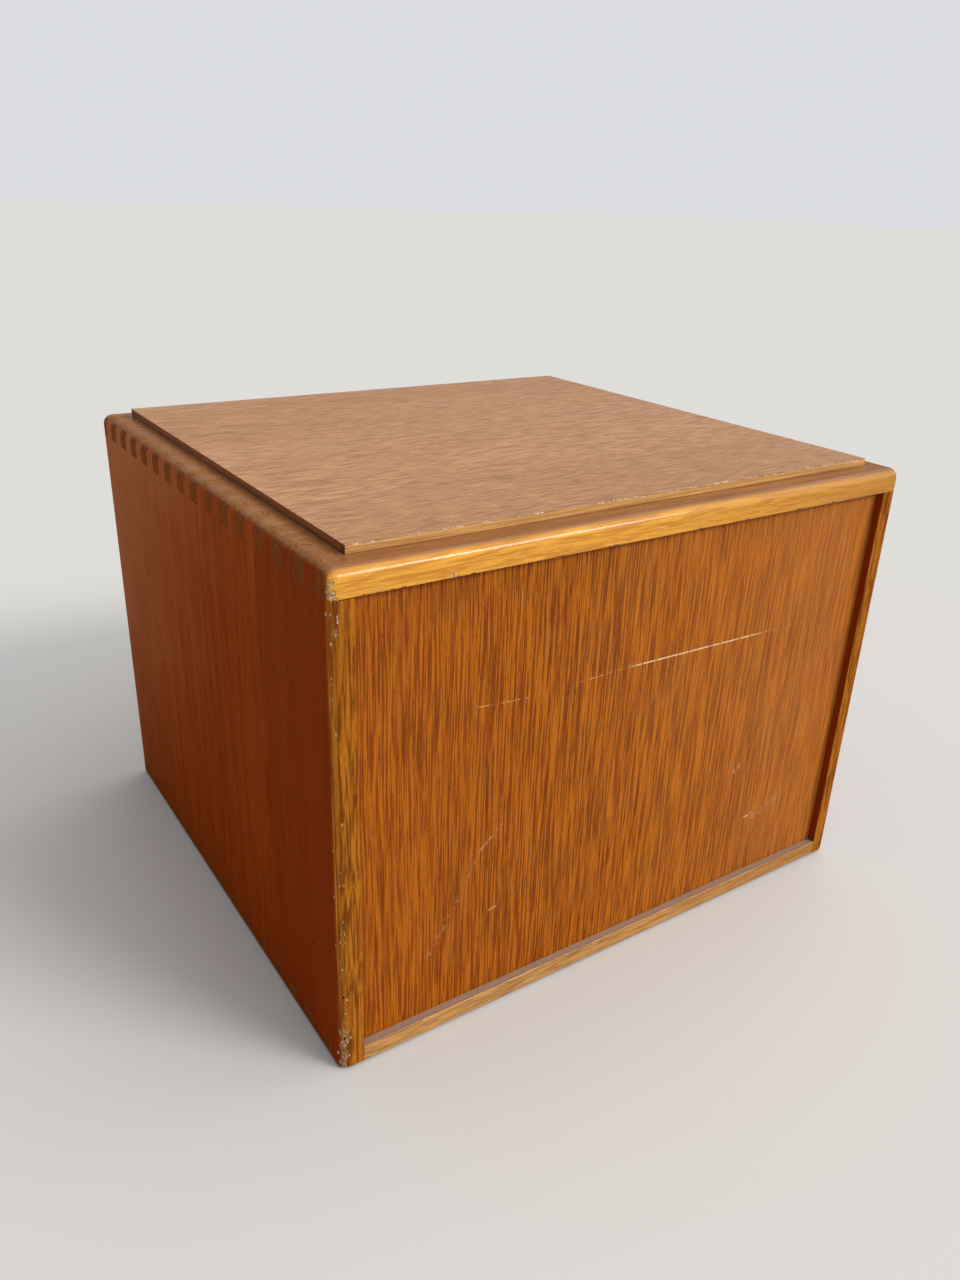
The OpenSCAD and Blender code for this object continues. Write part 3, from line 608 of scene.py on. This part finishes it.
# Worn boards: copies of the CAD boards with eased arrises, small dents and chips

bodyOf = {name: body for body, members in frame["record"]["behaviour"]["bodies"].items() for name in members}
random = np.random.default_rng(7)


def makeBareOak():
    material = bpy.data.materials.new("bareOak")
    material.use_nodes = True
    tree = material.node_tree
    shader = tree.nodes["Principled BSDF"]
    place = addNode(tree, "ShaderNodeTexCoord").outputs["Object"]
    fluff = noise(tree, place, 900.0, 3.0, 0.65)
    colour = blend(tree, remap(tree, fluff, 0.35, 0.65), (0.36, 0.17, 0.06), (0.78, 0.58, 0.38))
    tree.links.new(colour, shader.inputs["Base Color"])
    bump = addNode(tree, "ShaderNodeBump", {"Height": fluff, "Strength": 0.5, "Distance": 0.0003})
    tree.links.new(bump.outputs[0], shader.inputs["Normal"])
    shader.inputs["Roughness"].default_value = 0.8
    return material


bareOak = makeBareOak()


def blobTemplate():
    ball = bmesh.new()
    bmesh.ops.create_icosphere(ball, subdivisions=2, radius=1.0)
    points = np.array([v.co for v in ball.verts])
    faces = np.array([[v.index for v in f.verts] for f in ball.faces])
    ball.free()
    return points, faces


def makeChips(name, centres, sizes):
    # Each chip is a unit ball times its three half sizes, with every point pushed in or out a little
    points, faces = blobTemplate()
    count = len(centres)
    uneven = 1 + random.uniform(-0.28, 0.28, (count, len(points), 1))
    places = points[None] * uneven * sizes[:, None] + centres[:, None]
    corners = faces[None] + (np.arange(count) * len(points))[:, None, None]
    mesh = bpy.data.meshes.new(name)
    mesh.from_pydata(places.reshape(-1, 3), [], corners.reshape(-1, 3))
    mesh.materials.append(bareOak)
    chips = bpy.data.objects.new(name, mesh)
    bpy.context.scene.collection.objects.link(chips)
    return chips


def wornCopy(node, name, ease, arrises=(), arrisEase=0.0, cutters=()):
    source = nodes[node]
    made = bmesh.new()
    made.from_mesh(source.data)
    bmesh.ops.remove_doubles(made, verts=made.verts, dist=1e-6)
    bmesh.ops.dissolve_limit(made, angle_limit=math.radians(0.4), verts=made.verts, edges=made.edges)
    mesh = bpy.data.meshes.new(name)
    made.to_mesh(mesh)
    made.free()
    piece = bpy.data.objects.new(name, mesh)
    bpy.context.scene.collection.objects.link(piece)
    mesh.materials.append(materialOf[node])
    if arrises:
        ends = np.empty(len(mesh.edges) * 2, np.int32)
        mesh.edges.foreach_get("vertices", ends)
        spots = np.empty(len(mesh.vertices) * 3, np.float32)
        mesh.vertices.foreach_get("co", spots)
        pairs = spots.reshape(-1, 3)[ends.reshape(-1, 2)]
        weight = np.zeros(len(mesh.edges), np.float32)
        for low, high in arrises:
            inside = (pairs >= np.array(low) - 1e-5) & (pairs <= np.array(high) + 1e-5)
            weight[inside.all(axis=(1, 2))] = 1.0
        mesh.attributes.new("bevel_weight_edge", "FLOAT", "EDGE").data.foreach_set("value", weight)
        addBevel(piece, arrisEase, 3, "WEIGHT")
    addBevel(piece, ease, 2, "ANGLE")
    for cutter in cutters:
        chip = piece.modifiers.new("chips", "BOOLEAN")
        chip.object, chip.operation, chip.solver = cutter, "DIFFERENCE", "EXACT"
        chip.material_mode, chip.use_self = "TRANSFER", True
    finished = bpy.data.meshes.new_from_object(piece.evaluated_get(bpy.context.evaluated_depsgraph_get()))
    piece.modifiers.clear()
    piece.data = finished
    finished.name = name
    finished.shade_smooth()
    finished.set_sharp_from_angle(angle=math.radians(28))
    flat = piece.modifiers.new("flatFaces", "WEIGHTED_NORMAL")
    flat.keep_sharp = True
    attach(piece, bodyOf[node])
    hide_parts(node)
    return piece


def addBevel(piece, width, segments, limit):
    bevel = piece.modifiers.new("ease", "BEVEL")
    bevel.width, bevel.segments, bevel.limit_method = width, segments, limit
    bevel.angle_limit = math.radians(35)
    bevel.use_clamp_overlap = False
    bevel.harden_normals = False


wear = {"ease": 0.00022, "arrisEase": 0.0009, "edgeRadius": 0.008}


def uprightArris(x, y, lowZ, highZ):
    return ((x, y, lowZ), (x, y, highZ))


def makeBoards(s):
    low, high = boxLow, boxHigh
    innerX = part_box("right_side")[0].x
    underTop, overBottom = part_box("top_board")[0].z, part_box("bottom_board")[1].z
    reach = high.x
    cutters = makeWearChips(s, underTop)
    for side, name in ((-1, "left_side"), (1, "right_side")):
        arrises = [uprightArris(side * innerX, y, low.z, high.z) for y in (low.y, high.y)]
        wornCopy(name, name.replace("_", ""), s["ease"], arrises, s["arrisEase"], cutters if side < 0 else ())
    lines = [((-reach, y, underTop), (reach, y, underTop)) for y in (low.y, high.y)]
    wornCopy("top_board", "topBoard", s["ease"], lines, s["arrisEase"], cutters)
    lines = [((-reach, y, overBottom), (reach, y, overBottom)) for y in (low.y, high.y)]
    wornCopy("bottom_board", "bottomBoard", s["ease"], lines, s["arrisEase"], cutters)
    for cutter in cutters:
        bpy.data.objects.remove(cutter)


def makeWearChips(s, underTop):
    # Along the near upright edge: points at about 45 degrees on its rounding,
    # crowded at the foot and the top corner
    rounding = s["edgeRadius"]
    inward = rounding * (1 - math.sqrt(0.5))
    parts = []
    for count, lowZ, highZ, size in ((60, boxLow.z, boxLow.z + 0.036, 0.0008),
                                     (22, boxLow.z + 0.03, boxLow.z + 0.13, 0.0005),
                                     (14, boxLow.z + 0.13, underTop - 0.03, 0.0005),
                                     (9, underTop - 0.032, underTop - 0.001, 0.0007),
                                     (16, underTop, boxHigh.z - 0.007, 0.0008)):
        turn = random.normal(1.02, 0.26, count)
        z = random.uniform(lowZ, highZ, count)
        x = boxLow.x + rounding * (1 - np.cos(turn))
        y = boxLow.y + rounding * (1 - np.sin(turn))
        sizes = size * random.uniform(0.4, 1.3, (count, 1)) * np.array([[1.0, 1.0, 2.1]])
        parts.append((np.stack([x, y, z], 1), sizes))
    upright = makeChips("uprightChips", *(np.concatenate(group) for group in zip(*parts)))
    # Along the lower front arris of the top board: longer than they are deep
    count = 26
    x = random.uniform(boxLow.x + 0.02, boxHigh.x - 0.02, count)
    centres = np.stack([x, np.full(count, boxLow.y + 0.0002), np.full(count, underTop + 0.0003)], 1)
    sizes = random.uniform(0.3, 1.0, (count, 1)) * np.array([[0.0028, 0.0007, 0.0009]])
    centres[0], sizes[0] = (-0.169, boxLow.y, underTop + 0.001), (0.0016, 0.0010, 0.0021)
    arris = makeChips("arrisChips", centres, sizes)
    return [upright, arris]


makeBoards(wear)
print("boards made")


# Lid: the veneer and the strips round it, with a flaking edge over the panel

lidWear = {"veneerEase": 0.00018, "stripEase": 0.0005, "flakes": 120}


def makeLid(s):
    low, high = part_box("lid_veneer")
    count = s["flakes"]
    x = random.uniform(low.x + 0.004, high.x - 0.004, count)
    centres = np.stack([x, np.full(count, low.y - 0.0001), random.normal(high.z - 0.0002, 0.0003, count)], 1)
    sizes = random.uniform(0.25, 1.3, (count, 1)) * np.array([[0.0034, 0.0006, 0.0007]])
    flakes = makeChips("lidFlakes", centres, sizes)
    wornCopy("lid_veneer", "lidVeneer", s["veneerEase"], cutters=[flakes])
    wornCopy("lid_back_lipping", "lidBackLipping", s["stripEase"], cutters=[flakes])
    wornCopy("lid_front_lipping", "lidFrontLipping", s["stripEase"])
    wornCopy("lid_end_lippings", "lidEndLippings", s["stripEase"])
    bpy.data.objects.remove(flakes)


makeLid(lidWear)
print("lid made")


# Loose joinery: every other wooden part with its arrises taken off

joinery = {"beech": 0.0006, "plywood": 0.0003, "oak_front": 0.0009, "oak_panel": 0.0003}
shaped = ("left_side", "right_side", "top_board", "bottom_board", "lid_veneer", "lid_back_lipping",
          "lid_front_lipping",
          "lid_end_lippings")


def camel(name):
    first, *rest = name.split("_")
    return first + "".join(word.capitalize() for word in rest)


for name in nodes:
    if slotOf[name] in joinery and name not in shaped:
        wornCopy(name, camel(name), joinery[slotOf[name]])
print("joinery made")


# Spool pins: turned dowels with a rounded tip and a small bead above the tray floor

pinLook = {"around": 24, "beadRise": 0.0011, "beadHeight": 0.0016, "tip": 0.0016}


def lathe(outline, around):
    # Rings of points at each (radius, height) of the outline; the first and last radius are zero
    radius, height = np.array(outline).T
    turn = np.linspace(0, 2 * math.pi, around, endpoint=False)
    rings = np.stack([radius[1:-1, None] * np.cos(turn), radius[1:-1, None] * np.sin(turn),
                      np.repeat(height[1:-1, None], around, 1)], 2).reshape(-1, 3)
    points = np.concatenate([rings, [[0, 0, height[0]], [0, 0, height[-1]]]])
    rows = len(radius) - 2
    first = np.arange(around)
    following = (first + 1) % around
    faces = []
    for row in range(rows - 1):
        low, high = row * around, (row + 1) * around
        faces += np.stack([low + first, low + following, high + following, high + first], 1).tolist()
    bottom, top = len(points) - 2, len(points) - 1
    faces += [(bottom, b, a) for a, b in zip(first.tolist(), following.tolist())]
    last = (rows - 1) * around
    faces += [(top, last + a, last + b) for a, b in zip(first.tolist(), following.tolist())]
    return points, faces


def islands(node):
    # The loose solids of a CAD node, each as the low and high corner of its box
    made = bmesh.new()
    made.from_mesh(nodes[node].data)
    bmesh.ops.remove_doubles(made, verts=made.verts, dist=1e-6)
    boxes, seen = [], set()
    for start in made.verts:
        if start in seen:
            continue
        group, edge = [], [start]
        seen.add(start)
        while edge:
            vert = edge.pop()
            group.append(tuple(vert.co))
            for link in vert.link_edges:
                other = link.other_vert(vert)
                if other not in seen:
                    seen.add(other)
                    edge.append(other)
        spots = np.array(group)
        boxes.append((spots.min(0), spots.max(0)))
    made.free()
    return boxes


def buildPiece(name, node, points, faces, smooth=True):
    mesh = bpy.data.meshes.new(name)
    mesh.from_pydata([tuple(p) for p in points], [], faces)
    mesh.materials.append(materialOf[node])
    if smooth:
        mesh.shade_smooth()
        mesh.set_sharp_from_angle(angle=math.radians(40))
    piece = bpy.data.objects.new(name, mesh)
    bpy.context.scene.collection.objects.link(piece)
    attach(piece, bodyOf[node])
    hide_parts(node)
    return piece


def joined(parts):
    points, faces, offset = [], [], 0
    for some, corners in parts:
        points.append(np.asarray(some))
        faces += [tuple(index + offset for index in face) for face in corners]
        offset += len(some)
    return np.concatenate(points), faces


def makePins(s):
    parts = []
    for low, high in islands("spool_pins"):
        radius = (high[0] - low[0]) / 2
        top, bead = high[2], low[2] + s["beadRise"]
        angle = np.linspace(0, math.pi / 2, 6)
        outline = [(0, low[2]), (radius * 0.96, low[2]), (radius * 0.96, bead),
                   (radius, bead + s["beadHeight"] * 0.3),
                   (radius, bead + s["beadHeight"] * 0.7), (radius * 0.92, bead + s["beadHeight"])]
        # A quarter ellipse closes the tip
        outline += [(radius * 0.86 * math.cos(a),
                     top - s["tip"] + s["tip"] * math.sin(a)) for a in angle[:-1]]
        outline.append((0, top))
        points, faces = lathe(outline, s["around"])
        centre = np.array([(low[0] + high[0]) / 2, (low[1] + high[1]) / 2, 0])
        parts.append((points + centre, faces))
    buildPiece("spoolPins", "spool_pins", *joined(parts))


makePins(pinLook)
print("spool pins made")


# Screws: countersunk brass heads with a slot, heads facing where a screwdriver reaches

screwLook = {"around": 32, "slotWidth": 0.0009, "slotDepth": 0.0007, "shank": 0.0015, "point": 0.002}


def boxPoints(low, high):
    corners = [(x, y, z) for x in (low[0], high[0]) for y in (low[1], high[1]) for z in (low[2], high[2])]
    return corners, [(0, 1, 3, 2), (4, 6, 7, 5), (0, 4, 5, 1), (2, 3, 7, 6), (0, 2, 6, 4), (1, 5, 7, 3)]


def makeScrews(s, node, name):
    heads, slots = [], []
    for low, high in islands(node):
        size = high - low
        axis = int(np.argmax(size))
        radius, length = size[(axis + 1) % 3] / 2, size[axis]
        centre = (low + high) / 2
        # Heads look down from the lid battens, and inwards from the drawer runners
        outward = -1 if axis == 2 else -np.sign(centre[0])
        shank, cone = s["shank"], radius - s["shank"]
        outline = [(0, -length), (shank * 0.5, -length + s["point"] * 0.3), (shank, -length + s["point"]),
                   (shank, -cone),
                   (radius, -0.0001), (radius * 0.97, 0), (0, 0)]
        points, faces = lathe(outline, s["around"])
        half = s["slotWidth"] / 2
        slot, slotFaces = boxPoints((-radius, -half, -s["slotDepth"]), (radius, half, s["slotDepth"]))
        twist = Matrix.Rotation(random.uniform(0, math.pi), 3, "Z")
        direction = Vector([outward if index == axis else 0 for index in range(3)])
        turn = np.array(direction.to_track_quat("Z", "Y").to_matrix() @ twist)
        head = centre.copy()
        head[axis] += outward * length / 2
        heads.append((np.asarray(points) @ turn.T + head, faces))
        slots.append((np.asarray(slot) @ turn.T + head, slotFaces))
    screws = buildPiece(name, node, *joined(heads), smooth=False)
    cutter = bpy.data.objects.new(name + "Slots", bpy.data.meshes.new(name + "Slots"))
    points, faces = joined(slots)
    cutter.data.from_pydata([tuple(p) for p in points], [], faces)
    bpy.context.scene.collection.objects.link(cutter)
    cut = screws.modifiers.new("slots", "BOOLEAN")
    cut.object, cut.operation, cut.solver = cutter, "DIFFERENCE", "EXACT"
    finished = bpy.data.meshes.new_from_object(screws.evaluated_get(bpy.context.evaluated_depsgraph_get()))
    screws.modifiers.clear()
    screws.data = finished
    finished.name = name
    finished.shade_smooth()
    finished.set_sharp_from_angle(angle=math.radians(35))
    bpy.data.objects.remove(cutter)


makeScrews(screwLook, "batten_screws", "battenScrews")
makeScrews(screwLook, "runner_screws", "runnerScrews")


# Felt pads: pressed discs with a soft, slightly ragged rim

padLook = {"around": 72, "soft": 0.0004, "ragged": 0.00022}


def makePads(s):
    parts = []
    for low, high in islands("felt_pads"):
        radius = (high[0] - low[0]) / 2 - s["ragged"]
        soft = s["soft"]
        angle = np.linspace(-math.pi / 2, 0, 4)
        outline = [(0, low[2])] + [(radius - soft + soft * math.cos(a),
                                    low[2] + soft + soft * math.sin(a)) for a in angle]
        outline += [(r, low[2] + high[2] - z) for r, z in reversed(outline)]
        points, faces = lathe(outline, s["around"])
        spots = np.asarray(points)
        away = np.linalg.norm(spots[:, :2], axis=1, keepdims=True)
        spots[:, :2] *= 1 + random.uniform(-1, 1, (len(spots), 1)) * s["ragged"] / np.maximum(away, radius)
        parts.append((spots + np.array([(low[0] + high[0]) / 2, (low[1] + high[1]) / 2, 0]), faces))
    buildPiece("feltPads", "felt_pads", *joined(parts))


makePads(padLook)
print("screws and pads made")
